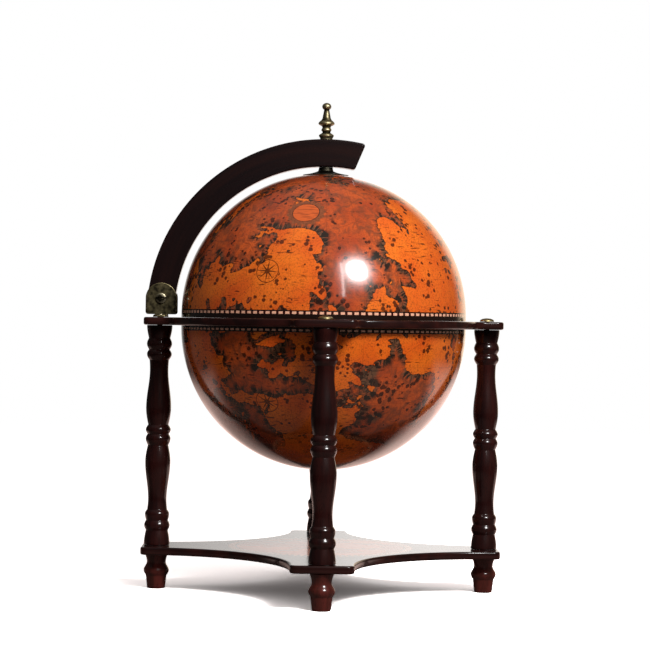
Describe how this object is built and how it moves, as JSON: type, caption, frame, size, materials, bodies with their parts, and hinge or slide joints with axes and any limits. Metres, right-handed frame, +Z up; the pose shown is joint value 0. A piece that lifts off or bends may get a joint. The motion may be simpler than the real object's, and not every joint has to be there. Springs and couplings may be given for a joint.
{
  "type": "floor globe bar",
  "caption": "Floor globe bar: a map-covered ball that opens at its waist on a hinged arm, hung in a turned-leg stand with a lower shelf.",
  "frame": {"origin": "on the floor, under the axis of the ball, midway between the feet", "axes": "+Z up; the arm's hinge is on -X, the front leg on -Y"},
  "size_m": [0.414, 0.414, 0.5657],
  "materials": {
    "dark_wood": "gloss lacquered dark mahogany",
    "antique_brass": "antiqued, satin",
    "zinc_steel": "zinc plated",
    "map_shell": "printed paper under gloss varnish",
    "lined_panel": "satin stained panel"
  },
  "bodies": {
    "stand": {"horizon_board": "dark_wood", "lower_shelf": "dark_wood", "bowl_rim_ring": "dark_wood", "leg_left": "dark_wood", "leg_right": "dark_wood", "leg_front": "dark_wood", "leg_back": "dark_wood", "foot_left": "dark_wood", "foot_right": "dark_wood", "foot_front": "dark_wood", "foot_back": "dark_wood", "cap_bolt_left": "antique_brass", "cap_bolt_right": "antique_brass", "cap_bolt_front": "antique_brass", "cap_bolt_back": "antique_brass", "hinge_cheek_front": "antique_brass", "hinge_cheek_back": "antique_brass", "tab_screw_front": "antique_brass", "tab_screw_back": "antique_brass", "pivot_bolt": "antique_brass", "pivot_nut": "antique_brass", "leg_stud_left": "zinc_steel", "leg_stud_right": "zinc_steel", "leg_stud_front": "zinc_steel", "leg_stud_back": "zinc_steel", "rim_screw_1": "zinc_steel", "rim_screw_2": "zinc_steel", "rim_screw_3": "zinc_steel", "rim_screw_4": "zinc_steel", "lower_bowl": "map_shell", "glass_tray": "lined_panel", "bottle_floor": "lined_panel"},
    "arm": {"meridian_arm": "dark_wood", "arm_ferrule": "antique_brass", "polar_spindle": "zinc_steel", "spindle_washer": "zinc_steel", "spindle_nut": "zinc_steel", "finial_collar": "antique_brass", "finial": "antique_brass"},
    "dome": {"dome_shell": "map_shell", "dome_rim_ring": "dark_wood", "polar_calotte": "antique_brass"}
  },
  "joints": [
    {"name": "arm_hinge", "type": "hinge", "parent": "stand", "child": "arm", "pos_m": [-0.18814, 0, 0.336], "axis": [0, -1, 0], "range_deg": [0, 95]},
    {"name": "dome_turn", "type": "hinge", "parent": "arm", "child": "dome", "pos_m": [0, 0, 0.318], "axis": [0, 0, 1], "continuous": true}
  ]
}
